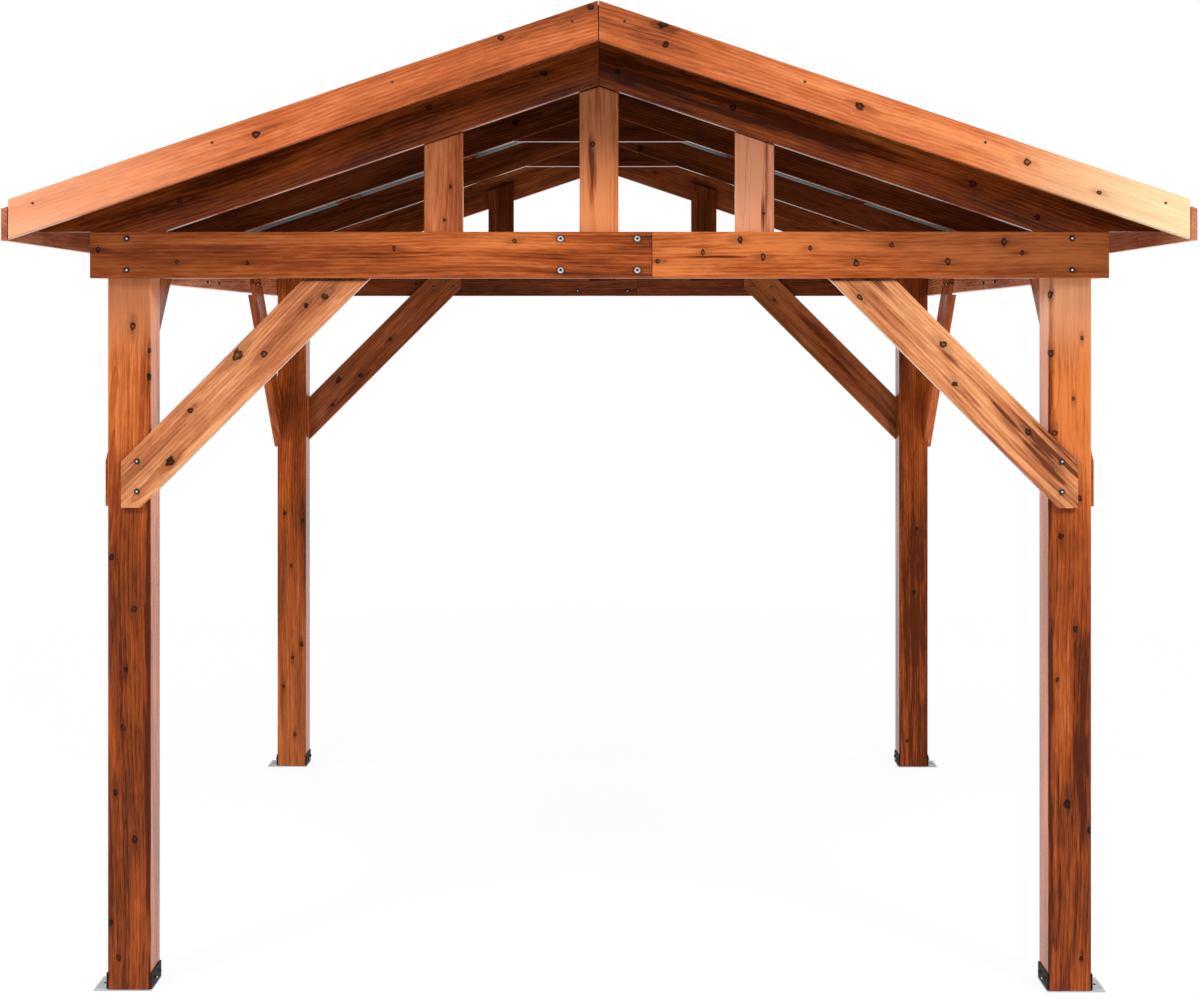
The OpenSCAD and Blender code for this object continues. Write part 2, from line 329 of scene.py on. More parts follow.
def buildToneMark(use):
    # a long dark or pale mark in the grain, added to the marks so far
    tree, start, end = newGroup("toneMark", [
        vectorIn,
        ("Middle", "Vector", (0, 0, 0)),
        ("Half Size", "Vector", (0.2, 1.0, 0.02)),
        ("Strength", "Float", -0.5),
        ("Ragged", "Float", 0.0),
        ("Shade So Far", "Float", 0.0),
    ], [("Shade", "Float")])
    apart = vec(tree, "SUBTRACT", start["Vector"], start["Middle"])
    steps = vec(tree, "LENGTH", vec(tree, "DIVIDE", apart, start["Half Size"]))
    steps = plus(tree, steps, start["Ragged"], use["ragged"])
    shade = calc(tree, "MULTIPLY", ramp(tree, steps, *use["edge"]), start["Strength"])
    tree.links.new(calc(tree, "ADD", shade, start["Shade So Far"]), end["Shade"])
    return tree


grainShape = {
    "seedStep": (7.1, 3.3, 5.7),    # how far one seed lies from the next in the pattern
    # patterns: spots in a metre along, into and across the board, then detail and roughness
    "broad": ((1.6, 11, 11), 2, 0.5),       # slow changes of tone
    "streak": ((1.5, 46, 46), 3, 0.6),      # long fibres
    "fibre": ((14, 260, 260), 1, 0.5),      # short fine fibres
    "fleck": ((15, 115, 115), 2, 0.6),      # small flecks of tone
    "flame": ((0.8, 17, 17), 2, 0.6),       # dark heartwood
    "sway": ((1.1, 3.5, 3.5), 1, 0.5),      # wander of the grain and of the growth rings
    "relief": ((10, 300, 300), 1, 0.5),     # raised fibres
    "swayBy": 0.07,
    "strayBy": (0, 0.05, 0.05),
    "lean": 0.022,                  # rings lean along the board, which draws the arches
    "ringDepth": 0.26,
    "ringCurve": 2.0,
    "middleTone": 0.58,
    "broadShare": 1.3,
    "fibreShare": 0.4,
    "fleckShare": 0.6,
    "streakShare": 1.7,
    "markInStreak": (0.34, 0.62, 1.3, 0.4),      # marks are stronger in dark streaks
    "paintedLightInStreak": (0.32, 0.66, 0.62, 1.12),    # the painted light is stronger in pale ones
    "flameEdge": (0.54, 0.68),
    "haloDepth": 0.38,
    "knotDepth": 0.94,
    "knotTints": ((0.006, 0.002, 0.001, 1), (0.035, 0.010, 0.004, 1)),
    "knotFibre": (0.4, 0.7),
    "endDepth": 0.55,
    "rough": 0.11,
    "streakRough": 0.12,
    "endRough": 0.3,
}


def buildTimber(use):
    tree, start, end = newGroup("stainedTimber", [
        vectorIn,
        ("Seed", "Float", 0.0),
        ("Pith", "Vector", (0, 0.02, -0.03)),
        ("Ring Gap", "Float", 0.012),
        ("Dark Stain", "Color", (0.09, 0.02, 0.007, 1)),
        ("Stain", "Color", (0.34, 0.085, 0.022, 1)),
        ("Pale Stain", "Color", (0.6, 0.22, 0.075, 1)),
        ("Painted Light Tint", "Color", (0.75, 0.5, 0.3, 1)),
        ("Tone", "Float", 0.0),
        ("Shade", "Float", 0.0),
        ("Streaks", "Float", 0.5),
        ("Heartwood", "Float", 0.3),
        ("Painted Light", "Float", 0.0),
        ("Core", "Float", 0.0),
        ("Halo", "Float", 0.0),
        ("End Grain", "Float", 0.0),
    ], [("Color", "Color"), ("Roughness", "Float")])
    where = vec(tree, "MULTIPLY_ADD", start["Seed"], use["seedStep"], start["Vector"])
    sway = centred(tree, speckle(tree, where, *use["sway"]))
    where = vec(tree, "MULTIPLY_ADD", sway, use["strayBy"], where)
    broad = speckle(tree, where, *use["broad"])
    streak = speckle(tree, where, *use["streak"])
    fibre = speckle(tree, where, *use["fibre"])
    fleck = speckle(tree, where, *use["fleck"])
    flame = speckle(tree, where, *use["flame"])

    # growth rings around the pith
    ringed = put(tree, "ShaderNodeSeparateXYZ", {0: vec(tree, "SUBTRACT", start["Vector"], start["Pith"])})
    bend = calc(tree, "MULTIPLY", sway, use["swayBy"])
    lean = plus(tree, bend, ringed["X"], use["lean"])
    across = calc(tree, "ADD", ringed["Y"], lean)
    upward = calc(tree, "ADD", ringed["Z"], bend)
    acrossSquared = calc(tree, "MULTIPLY", across, across)
    upwardSquared = calc(tree, "MULTIPLY", upward, upward)
    radius = calc(tree, "SQRT", calc(tree, "ADD", acrossSquared, upwardSquared))
    turns = calc(tree, "DIVIDE", radius, start["Ring Gap"])
    ring = calc(tree, "POWER", calc(tree, "FRACT", turns), use["ringCurve"])

    tone = calc(tree, "ADD", start["Tone"], use["middleTone"])
    for part, share in ((broad, "broadShare"), (fibre, "fibreShare"), (fleck, "fleckShare")):
        tone = plus(tree, tone, centred(tree, part), use[share])
    lines = calc(tree, "MULTIPLY", centred(tree, streak), start["Streaks"])
    tone = plus(tree, tone, lines, use["streakShare"])
    tone = plus(tree, tone, ring, -use["ringDepth"])
    tone = plus(tree, tone, start["Shade"], ramp(tree, streak, *use["markInStreak"]))

    # dark to middle in the lower half of the tone, middle to pale in the upper
    lower = calc(tree, "MULTIPLY", tone, 2.0, clamp=True)
    upper = calc(tree, "SUBTRACT", calc(tree, "MULTIPLY", tone, 2.0), 1.0, clamp=True)
    colour = blend(tree, lower, start["Dark Stain"], start["Stain"])
    colour = blend(tree, upper, colour, start["Pale Stain"])

    heart = calc(tree, "MULTIPLY", ramp(tree, flame, *use["flameEdge"]), start["Heartwood"])
    colour = blend(tree, heart, colour, start["Dark Stain"])
    # painted light, which pales the board towards its tint
    paintedLightShare = calc(tree, "MULTIPLY", start["Painted Light"], ramp(tree, streak, *use["paintedLightInStreak"]), clamp=True)
    colour = blend(tree, paintedLightShare, colour, start["Painted Light Tint"])
    around = calc(tree, "MULTIPLY", start["Halo"], use["haloDepth"])
    colour = blend(tree, around, colour, start["Dark Stain"])
    knotTint = blend(tree, ramp(tree, fibre, *use["knotFibre"]), *use["knotTints"])
    colour = blend(tree, calc(tree, "MULTIPLY", start["Core"], use["knotDepth"]), colour, knotTint)
    endOn = calc(tree, "MULTIPLY", start["End Grain"], use["endDepth"])
    colour = blend(tree, endOn, colour, start["Dark Stain"])
    tree.links.new(colour, end["Color"])

    rough = plus(tree, use["rough"], streak, use["streakRough"])
    rough = plus(tree, rough, start["End Grain"], use["endRough"])
    tree.links.new(rough, end["Roughness"])
    return tree


def buildRelief(use):
    # raised fibres, kept apart from the colours so that it stays quick
    tree, start, end = newGroup("timberRelief", [vectorIn, ("Seed", "Float", 0.0)], [("Height", "Float")])
    where = vec(tree, "MULTIPLY_ADD", start["Seed"], use["seedStep"], start["Vector"])
    tree.links.new(speckle(tree, where, *use["relief"]), end["Height"])
    return tree


knotMarkTree = buildKnotMark(knotShape)
strayKnotTree = buildStrayKnots(strayShape, knotMarkTree)
toneMarkTree = buildToneMark(markShape)
timberTree = buildTimber(grainShape)
reliefTree = buildRelief(grainShape)

# stains, from the darkest fibres to the palest; brown and umber are the cedar darkened as painted shade,
# for the boards at the back and under the roof
stains = {
    "red": ((0.066, 0.012, 0.003, 1), (0.262, 0.052, 0.009, 1), (0.50, 0.140, 0.036, 1)),
    "tan": ((0.105, 0.028, 0.009, 1), (0.37, 0.120, 0.046, 1), (0.60, 0.275, 0.118, 1)),
    "rose": ((0.115, 0.030, 0.013, 1), (0.40, 0.120, 0.055, 1), (0.66, 0.270, 0.145, 1)),
    "honey": ((0.130, 0.028, 0.008, 1), (0.37, 0.090, 0.026, 1), (0.56, 0.190, 0.070, 1)),
    "shadeBrown": ((0.033, 0.007, 0.002, 1), (0.148, 0.031, 0.007, 1), (0.30, 0.084, 0.024, 1)),
    "shadeUmber": ((0.015, 0.003, 0.001, 1), (0.084, 0.017, 0.004, 1), (0.17, 0.041, 0.011, 1)),
}

boardDefaults = {
    "stain": "red",
    "grain": 0.0,        # angle of the grain above the level, in degrees
    "turned": False,     # True where the board runs front to back
    "seed": 1.0,
    "tone": 0.0,
    "streaks": 0.5,
    "heart": 0.25,
    "pith": (0.03, -0.02),
    "ringGap": 0.012,
    "stray": 0.0,        # chance of a stray knot
    "knots": [],         # along the grain, across it and radius, from the corner of the board's box
    "knotSquash": (0.8, 0.5, 1.0),   # above 1 is narrower: along the grain, into the board, across
    "knotHeart": 0.40,   # how pale the middle of a knot is
    "marks": [],         # along, across, half length, half width and strength, dark below zero
    "edges": [],         # marks of the same kind that reach only a little way in from the face
    "edgeDeep": 0.007,
    "drift": None,       # from and to along the board, and the tone gained by the end; on the posts and gable boards it is painted light
    "paintedLight": None,      # painted light: where along the board it starts to pale, where it is palest, how much
    "paintedLightTint": (0.75, 0.5, 0.3, 1),
    "bump": 0.25,
    "gloss": 0.1,
}

surfaceShape = {
    "ragged": ((45, 80, 80), 1, 0.5),    # pattern of the knots' outlines
    "flow": ((4, 34, 34), 2, 0.5),       # pattern of the marks' outlines
    "through": 1.0,              # half depth of a mark that goes right through a board
    "endEdge": (0.75, 0.95),     # how squarely a face looks along the grain to be end grain
    "bumpDeep": 0.001,
}


def timberMaterial(name, corner, look):
    use = dict(boardDefaults)
    use.update(look)
    material, tree = newMaterial("cedar_" + name)
    turn = (0, -math.radians(use["grain"]), math.pi / 2 if use["turned"] else 0)
    coords = put(tree, "ShaderNodeTexCoord", {})
    inputs = {"Vector": coords["Object"], "Location": corner, "Rotation": turn}
    where = put(tree, "ShaderNodeMapping", inputs, vector_type="TEXTURE")[0]
    inputs = {"Vector": coords["Normal"], "Rotation": turn}
    facing = put(tree, "ShaderNodeMapping", inputs, vector_type="TEXTURE")[0]
    endOn = calc(tree, "ABSOLUTE", put(tree, "ShaderNodeSeparateXYZ", {0: facing})["X"])
    ragged = centred(tree, speckle(tree, where, *surfaceShape["ragged"]))

    last = useGroup(tree, strayKnotTree, {
        "Vector": where, "Ragged": ragged, "Seed": use["seed"], "Amount": use["stray"],
    })
    for along, across, radius in use["knots"]:
        last = useGroup(tree, knotMarkTree, {
            "Vector": last["Vector"], "Core So Far": last["Core"], "Halo So Far": last["Halo"],
            "Middle": (along, 0, across), "Radius": radius, "Ragged": ragged,
            "Squash": use["knotSquash"], "Pale Heart": use["knotHeart"],
        })

    flow = centred(tree, speckle(tree, where, *surfaceShape["flow"]))
    alongBoard = put(tree, "ShaderNodeSeparateXYZ", {0: where})["X"]
    shade = 0.0
    if use["drift"]:
        first, full, gained = use["drift"]
        shade = ramp(tree, alongBoard, first, full, 0.0, gained)
    allMarks = [(mark, surfaceShape["through"]) for mark in use["marks"]]
    allMarks += [(mark, use["edgeDeep"]) for mark in use["edges"]]
    for (along, across, halfLong, halfWide, strength), deep in allMarks:
        shade = useGroup(tree, toneMarkTree, {
            "Vector": where, "Middle": (along, 0, across), "Half Size": (halfLong, deep, halfWide),
            "Strength": strength, "Ragged": flow, "Shade So Far": shade,
        })["Shade"]
    # painted light along the board
    paintedLight = 0.0
    if use["paintedLight"]:
        first, full, most = use["paintedLight"]
        paintedLight = ramp(tree, alongBoard, first, full, 0.0, most)

    dark, middle, pale = stains[use["stain"]]
    wood = useGroup(tree, timberTree, {
        "Vector": last["Vector"], "Core": last["Core"], "Halo": last["Halo"],
        "End Grain": ramp(tree, endOn, *surfaceShape["endEdge"]), "Shade": shade, "Painted Light": paintedLight,
        "Seed": use["seed"], "Pith": (0, use["pith"][0], use["pith"][1]), "Ring Gap": use["ringGap"],
        "Dark Stain": dark, "Stain": middle, "Pale Stain": pale, "Painted Light Tint": use["paintedLightTint"],
        "Tone": use["tone"], "Streaks": use["streaks"], "Heartwood": use["heart"],
    })
    relief = useGroup(tree, reliefTree, {"Vector": where, "Seed": use["seed"]})
    bump = put(tree, "ShaderNodeBump", {
        "Height": relief["Height"], "Strength": use["bump"], "Distance": surfaceShape["bumpDeep"],
    })
    shader = put(tree, "ShaderNodeBsdfPrincipled", {
        "Base Color": wood["Color"], "Roughness": wood["Roughness"], "Normal": bump[0],
        "Specular IOR Level": use["gloss"],
    })
    put(tree, "ShaderNodeOutputMaterial", {"Surface": shader[0]})
    return material


def dress(name, material):
    slots = nodes[name].data.materials
    slots.clear()
    slots.append(material)


pitch = 18.6          # roof pitch in degrees

# looks of the boards that show most, read off the photograph
boardLooks = {
    "post_front_left": {
        # painted light: the drift and the paling make the upper part lighter, most at the top
        "grain": 90, "seed": 3.0, "tone": -0.28, "heart": 0.1, "drift": (1.1, 2.25, 0.86),
        "paintedLight": (2.0, 2.3, 0.55), "paintedLightTint": (0.80, 0.31, 0.14, 1),
        "knots": [(1.409, -0.014, 0.009), (1.241, -0.088, 0.010), (1.043, -0.059, 0.008),
                  (0.851, -0.051, 0.009), (0.644, -0.025, 0.009), (0.489, -0.088, 0.010),
                  (0.219, -0.009, 0.009), (0.105, -0.036, 0.008), (2.160, -0.083, 0.010),
                  (1.994, -0.136, 0.009), (2.082, -0.137, 0.007)],
        # the pale mark along the inner side face is painted sheen
        "marks": [(1.1, -0.141, 3.0, 0.004, 0.42)],
        "edges": [(1.2, -0.135, 1.7, 0.012, -0.6)],
    },
    "post_front_right": {
        # painted light: the drift and the paling make the upper part lighter, most at the top
        "grain": 90, "seed": 8.0, "tone": -0.10, "heart": 0.05, "drift": (1.1, 2.25, 0.84),
        "paintedLight": (2.0, 2.3, 0.85), "paintedLightTint": (0.90, 0.40, 0.20, 1),
        "knots": [(1.478, -0.042, 0.010), (1.178, -0.087, 0.009), (1.011, -0.028, 0.007),
                  (0.607, -0.061, 0.013), (0.107, -0.107, 0.006), (1.925, -0.082, 0.006),
                  (1.813, -0.020, 0.009), (2.121, -0.109, 0.006), (1.601, -0.100, 0.008),
                  (0.522, -0.135, 0.010), (2.264, -0.006, 0.009), (2.072, -0.009, 0.010)],
        "marks": [(0.70, -0.085, 0.42, 0.06, -0.40), (0.66, -0.108, 0.32, 0.010, -0.35),
                  (0.62, -0.068, 0.28, 0.008, -0.35), (0.28, -0.085, 0.2, 0.010, -0.3),
                  # the pale mark along the inner side face is painted sheen
                  (1.1, 0.001, 3.0, 0.004, 0.15)],
        "edges": [(2.0, -0.004, 0.7, 0.015, -0.9), (0.7, -0.005, 0.9, 0.014, -0.7)],
    },
    "front_beam_left": {
        "seed": 5.0, "tone": 0.10, "heart": 0.3,
        "knotSquash": (1.1, 0.5, 0.8), "knotHeart": 0.5,
        "knots": [(0.282, 0.053, 0.007), (0.510, 0.050, 0.006), (0.984, 0.096, 0.007),
                  (0.026, 0.092, 0.008), (1.374, 0.120, 0.008)],
        "marks": [(0.35, 0.09, 0.3, 0.03, -0.22), (0.95, 0.07, 0.25, 0.02, -0.35),
                  (1.70, 0.07, 0.35, 0.12, -0.28)],
    },
    "front_beam_right": {
        "seed": 11.0, "tone": 0.24, "heart": 0.15,
        "knotSquash": (1.1, 0.5, 0.75), "knotHeart": 0.55,
        "knots": [(0.507, 0.083, 0.007), (0.626, 0.124, 0.009), (0.701, 0.068, 0.009),
                  (0.361, 0.054, 0.008), (0.852, 0.096, 0.007), (1.002, 0.050, 0.010),
                  (1.117, 0.108, 0.008), (1.298, 0.053, 0.010), (1.480, 0.116, 0.010),
                  (1.538, 0.081, 0.007)],
        "marks": [(0.45, 0.088, 0.10, 0.010, 0.6), (0.56, 0.098, 0.10, 0.006, -0.8),
                  (0.54, 0.070, 0.12, 0.006, -0.7)],
    },
    "front_brace_left": {
        "grain": 45, "stain": "tan", "seed": 2.0, "tone": 0.0, "heart": 0.25,
        "knots": [(0.618, 0.084, 0.016), (0.682, 0.026, 0.010), (0.953, 0.017, 0.011),
                  (0.890, 0.041, 0.008), (0.383, 0.065, 0.009), (0.219, -0.007, 0.013)],
        "marks": [(0.35, -0.035, 0.35, 0.02, 0.45)],
    },
    "front_brace_right": {
        "grain": 135, "stain": "tan", "seed": 14.0, "tone": 0.32, "heart": 0.1,
        "streaks": 0.7, "drift": (0.12, -0.30, -0.34),
        "knots": [(0.084, -0.666, 0.011), (-0.033, -0.603, 0.009), (-0.310, -0.659, 0.011),
                  (0.385, -0.583, 0.009)],
        "marks": [(-0.12, -0.700, 0.18, 0.025, 0.45), (-0.30, -0.640, 0.16, 0.045, -0.4),
                  (-0.43, -0.660, 0.11, 0.050, -0.75), (-0.10, -0.605, 0.06, 0.012, -0.6),
                  (-0.22, -0.640, 0.08, 0.012, -0.6), (-0.35, -0.668, 0.09, 0.012, -0.7),
                  (-0.47, -0.620, 0.05, 0.012, -0.8), (0.22, -0.595, 0.40, 0.050, -0.22),
                  (0.05, -0.645, 0.06, 0.016, -0.6), (0.40, -0.650, 0.12, 0.025, -0.8)],
    },
    "front_barge_left": {
        "grain": pitch, "stain": "honey", "seed": 6.0, "tone": -0.28, "heart": 0.15,
        "knots": [(1.630, 0.104, 0.009), (1.919, 0.106, 0.010), (0.822, 0.061, 0.011)],
        "marks": [(0.88, 0.070, 0.09, 0.012, -0.4)],
        # painted light: the drift and the paling make the board lighter towards its eave end
        "drift": (1.9, 0.6, 0.48), "paintedLight": (0.9, -0.1, 0.7), "paintedLightTint": (0.60, 0.30, 0.18, 1),
    },
    "front_barge_right": {
        "grain": -pitch, "stain": "honey", "seed": 9.0, "tone": -0.12, "heart": 0.15,
        "knots": [(-0.025, 0.686, 0.013), (0.002, 0.630, 0.010), (0.628, 0.640, 0.012),
                  (1.166, 0.642, 0.010), (1.406, 0.624, 0.007)],
        "marks": [(-0.02, 0.676, 0.05, 0.02, -0.5), (0.64, 0.640, 0.08, 0.012, -0.5)],
        # painted light: the drift and the paling make the board lighter towards its eave end
        "drift": (-0.2, 0.8, 0.4), "paintedLight": (0.95, 1.75, 0.95), "paintedLightTint": (0.60, 0.45, 0.26, 1),
    },
    "front_rafter_left": {
        "grain": pitch, "seed": 4.0, "tone": -0.16,
        "knots": [(1.711, -0.036, 0.009), (1.326, -0.022, 0.009), (0.464, -0.049, 0.009)],
    },
    "front_rafter_right": {
        "grain": -pitch, "seed": 12.0, "tone": -0.2, "heart": 0.5,
        "knots": [(-0.107, 0.509, 0.009), (0.091, 0.575, 0.008), (0.282, 0.518, 0.010),
                  (1.092, 0.533, 0.012), (1.326, 0.495, 0.009)],
        # the dark mark is a dark streak in the grain and partly painted shadow under the gable board
        "marks": [(0.1, 0.56, 0.8, 0.12, -0.5)],
    },
    "front_stud_left": {
        "grain": 90, "stain": "honey", "seed": 7.0, "tone": 0.08, "heart": 0.3, "stray": 0.1,
        "knots": [(0.113, -0.067, 0.006), (0.223, -0.087, 0.006)],
    },
    "front_stud_middle": {
        "grain": 90, "stain": "honey", "seed": 10.0, "tone": 0.46, "streaks": 0.8, "heart": 0.2,
        "knots": [(0.359, -0.042, 0.008)],
        "marks": [(0.25, -0.034, 0.13, 0.013, -1.2), (0.27, -0.050, 0.09, 0.008, -1.1),
                  (0.50, -0.05, 0.06, 0.025, -0.4)],
    },
    "front_stud_right": {
        "grain": 90, "stain": "rose", "seed": 13.0, "tone": 0.58, "streaks": 0.7, "heart": 0.1,
        "knots": [(0.135, -0.093, 0.005)],
        "marks": [(0.25, -0.104, 0.35, 0.007, -0.7), (0.14, -0.088, 0.07, 0.008, -0.7)],
    },
    "post_rear_left": {
        # painted light: the drift lifts the top, and the paling makes it paler towards the foot
        "grain": 90, "seed": 15.0, "tone": -0.18, "drift": (1.2, 2.0, 0.35), "gloss": 0.05,
        "paintedLight": (1.6, 0.1, 0.25), "paintedLightTint": (0.36, 0.13, 0.045, 1),
        "knots": [(1.246, -0.037, 0.008), (1.208, -0.123, 0.008), (0.986, -0.070, 0.008),
                  (0.601, -0.119, 0.010), (0.533, -0.075, 0.008), (0.392, -0.029, 0.008),
                  (0.156, -0.087, 0.008)],
    },
    "post_rear_right": {
        "grain": 90, "seed": 16.0, "tone": -0.27, "heart": 0.2, "gloss": 0.05,
        "knots": [(1.169, -0.085, 0.008), (0.858, -0.070, 0.010), (0.127, -0.039, 0.008)],
        "marks": [(0.38, -0.07, 0.7, 0.09, -0.30), (0.95, -0.07, 0.5, 0.028, -0.15)],
    },
    "rear_brace_left": {
        "grain": 45, "stain": "shadeBrown", "seed": 17.0, "tone": 0.18, "stray": 0.1,
        "knots": [(0.398, 0.064, 0.014), (0.495, 0.000, 0.011), (0.723, 0.024, 0.008),
                  (0.290, -0.002, 0.009)],
    },
    "rear_brace_right": {
        "grain": 135, "stain": "shadeBrown", "seed": 18.0, "tone": 0.36, "streaks": 0.9,
        "heart": 0.3, "stray": 0.4,
        "marks": [(0.05, -0.645, 0.3, 0.045, -0.35)],
    },
}

# the boards that show less, by the words in their names: their stain and the way their grain runs
familyLooks = {
    # the brown and umber stains here are painted shade
    "rear_beam": {"stain": "shadeBrown", "tone": -0.1},
    "header": {"turned": True, "stain": "rose", "tone": -0.05, "streaks": 0.3},
    "brace_front": {"turned": True, "grain": 45},
    "brace_rear": {"turned": True, "grain": 135},
    "rear_rafter_left": {"grain": pitch, "stain": "shadeBrown"},
    "rear_rafter_right": {"grain": -pitch, "stain": "shadeBrown"},
    "rear_stud": {"grain": 90, "stain": "shadeUmber"},
    "truss_rafter left": {"grain": pitch, "stain": "shadeUmber"},
    "truss_rafter right": {"grain": -pitch, "stain": "shadeUmber"},
    "collar_tie": {"stain": "shadeUmber"},
    "rear_barge_left": {"grain": pitch, "stain": "honey"},
    "rear_barge_right": {"grain": -pitch, "stain": "honey"},
    "fascia": {"turned": True, "stain": "rose", "tone": 0.3},
    "purlins": {"turned": True, "stain": "shadeUmber"},
}
familyStray = 0.35
firstSeed = 20
seedStep = 1.37

for index, name in enumerate(sorted(nodes)):
    look = boardLooks.get(name)
    for words, shared in familyLooks.items():
        if not look and all(word in name for word in words.split()):
            look = dict(shared, seed=firstSeed + seedStep * index, stray=familyStray)
    if look:
        dress(name, timberMaterial(name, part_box(name)[0], look))
print("timber is stained")


# steel

steelShape = {
    "cloud": (4, 0.6),           # detail and roughness, its size is in each metal's look
    "grit": ((600, 600, 600), 2, 0.5),
    "dullEdge": (0.38, 0.68),
    "dullRough": 0.25,
    "gritRough": 0.08,
    "gritHeight": 0.4,
    "underEdge": (-0.2, -0.6),   # how far down a face looks to take the tint of the underside
    "bump": 0.12,
    "bumpDeep": 0.001,
}


def buildSteel(use):
    tree, start, end = newGroup("workedSteel", [
        vectorIn,
        ("Tint", "Color", (0.6, 0.6, 0.6, 1)),
        ("Dull Tint", "Color", (0.3, 0.3, 0.3, 1)),
        ("Grain", "Vector", (30, 30, 30)),
        ("Dullness", "Float", 0.5),
        ("Polish", "Float", 0.35),
    ], [("Color", "Color"), ("Roughness", "Float"), ("Height", "Float")])
    cloud = speckle(tree, start["Vector"], start["Grain"], *use["cloud"])
    grit = speckle(tree, start["Vector"], *use["grit"])
    dull = calc(tree, "MULTIPLY", ramp(tree, cloud, *use["dullEdge"]), start["Dullness"])
    tree.links.new(blend(tree, dull, start["Tint"], start["Dull Tint"]), end["Color"])
    rough = plus(tree, start["Polish"], dull, use["dullRough"])
    rough = plus(tree, rough, grit, use["gritRough"])
    tree.links.new(rough, end["Roughness"])
    tree.links.new(plus(tree, cloud, grit, use["gritHeight"]), end["Height"])
    return tree


steelTree = buildSteel(steelShape)

# "under" is the tint of faces that look down, painted shade; "below" the height under which another tint,
# bare steel and partly painted reflection, takes over; the hole tint on the anchor holes' walls is painted
# shade
steelLooks = {
    "roofSteel": {"tint": (0.55, 0.56, 0.57, 1), "dull": (0.40, 0.41, 0.42, 1), "grain": (5, 14, 14),
                  "metal": 0.3, "polish": 0.34, "dullness": 0.6, "under": (0.05, 0.05, 0.052, 1)},
    "blackSteel": {"tint": (0.007, 0.007, 0.007, 1), "dull": (0.022, 0.021, 0.021, 1),
                   "grain": (40, 40, 40), "metal": 0.0, "polish": 0.5, "dullness": 0.6, "gloss": 0.05,
                   "below": (0.006, (0.44, 0.44, 0.48, 1)), "holes": (0.004, 0.004, 0.004, 1)},
    "zincSteel": {"tint": (0.80, 0.80, 0.81, 1), "dull": (0.45, 0.45, 0.46, 1),
                  "grain": (220, 220, 220), "metal": 1.0, "polish": 0.2, "dullness": 0.4},
    "brightZinc": {"tint": (0.66, 0.66, 0.67, 1), "dull": (0.36, 0.36, 0.36, 1),
                   "grain": (180, 180, 180), "metal": 1.0, "polish": 0.22, "dullness": 0.5},
    "greyZinc": {"tint": (0.26, 0.25, 0.25, 1), "dull": (0.12, 0.11, 0.11, 1),
                 "grain": (260, 260, 260), "metal": 0.8, "polish": 0.3, "dullness": 0.6},
    "darkZinc": {"tint": (0.040, 0.034, 0.032, 1), "dull": (0.015, 0.012, 0.011, 1),
                 "grain": (260, 260, 260), "metal": 0.3, "polish": 0.36, "dullness": 0.7},
}
plainGloss = 0.25

# the anchor holes, with a hair's breadth around them
millimetre = 0.001
holeMargin = 0.0006
anchorHoles = frame["record"]["mounts"][0]["dims"]
holeMiddle = (anchorHoles["spacing_x_mm"] / 2 * millimetre, anchorHoles["spacing_y_mm"] / 2 * millimetre, 0)
holeRim = anchorHoles["hole_r_mm"] * millimetre + holeMargin


def steelMaterial(name, use):
    material, tree = newMaterial(name)
    coords = put(tree, "ShaderNodeTexCoord", {})
    steel = useGroup(tree, steelTree, {
        "Vector": coords["Object"], "Tint": use["tint"], "Dull Tint": use["dull"],
        "Grain": use["grain"], "Dullness": use["dullness"], "Polish": use["polish"],
    })
    colour = steel["Color"]
    if "under" in use:
        upward = put(tree, "ShaderNodeSeparateXYZ", {0: coords["Normal"]})["Z"]
        # painted shade on the faces that look down
        colour = blend(tree, ramp(tree, upward, *steelShape["underEdge"]), colour, use["under"])
    if "below" in use:
        level, tint = use["below"]
        height = put(tree, "ShaderNodeSeparateXYZ", {0: coords["Object"]})["Z"]
        # the pale flange below: bare steel, partly painted reflection
        colour = blend(tree, calc(tree, "LESS_THAN", height, level), colour, tint)
    if "holes" in use:
        # painted shade inside the anchor holes
        corner = vec(tree, "ABSOLUTE", coords["Object"])
        apart = vec(tree, "MULTIPLY", vec(tree, "SUBTRACT", corner, holeMiddle), (1, 1, 0))
        inHole = calc(tree, "LESS_THAN", vec(tree, "LENGTH", apart), holeRim)
        colour = blend(tree, inHole, colour, use["holes"])
    bump = put(tree, "ShaderNodeBump", {
        "Height": steel["Height"], "Strength": steelShape["bump"], "Distance": steelShape["bumpDeep"],
    })
    shader = put(tree, "ShaderNodeBsdfPrincipled", {
        "Base Color": colour, "Roughness": steel["Roughness"], "Metallic": use["metal"], "Normal": bump[0],
        "Specular IOR Level": use.get("gloss", plainGloss),
    })
    put(tree, "ShaderNodeOutputMaterial", {"Surface": shader[0]})
    return material


metals = {name: steelMaterial(name, use) for name, use in steelLooks.items()}
for name in nodes:
    if "sheet" in name or name == "ridge_cap":
        dress(name, metals["roofSteel"])
    if name.startswith("shoe"):
        dress(name, metals["blackSteel"])
print("steel is finished")


# fasteners

closeTo = 0.0001         # heights that differ by less count as one
faceUp = 0.9             # upward part of the normal of a face that looks up
smoothAngle = 35


def pickOnly(piece):
    bpy.ops.object.select_all(action="DESELECT")
    piece.select_set(True)
    bpy.context.view_layer.objects.active = piece


def editOn(piece, kind):
    # no face or edge picked, and this kind ready to be
    pickOnly(piece)
    bpy.ops.object.mode_set(mode="EDIT")
    bpy.ops.mesh.select_mode(type=kind)
    bpy.ops.mesh.select_all(action="DESELECT")
    bpy.ops.object.mode_set(mode="OBJECT")


def pickTop(piece, level):
    # picks the upward faces at this height, ready for the next operator
    editOn(piece, "FACE")
    for face in piece.data.polygons:
        face.select = face.normal.z > faceUp and abs(face.center.z - level) < closeTo
    bpy.ops.object.mode_set(mode="EDIT")


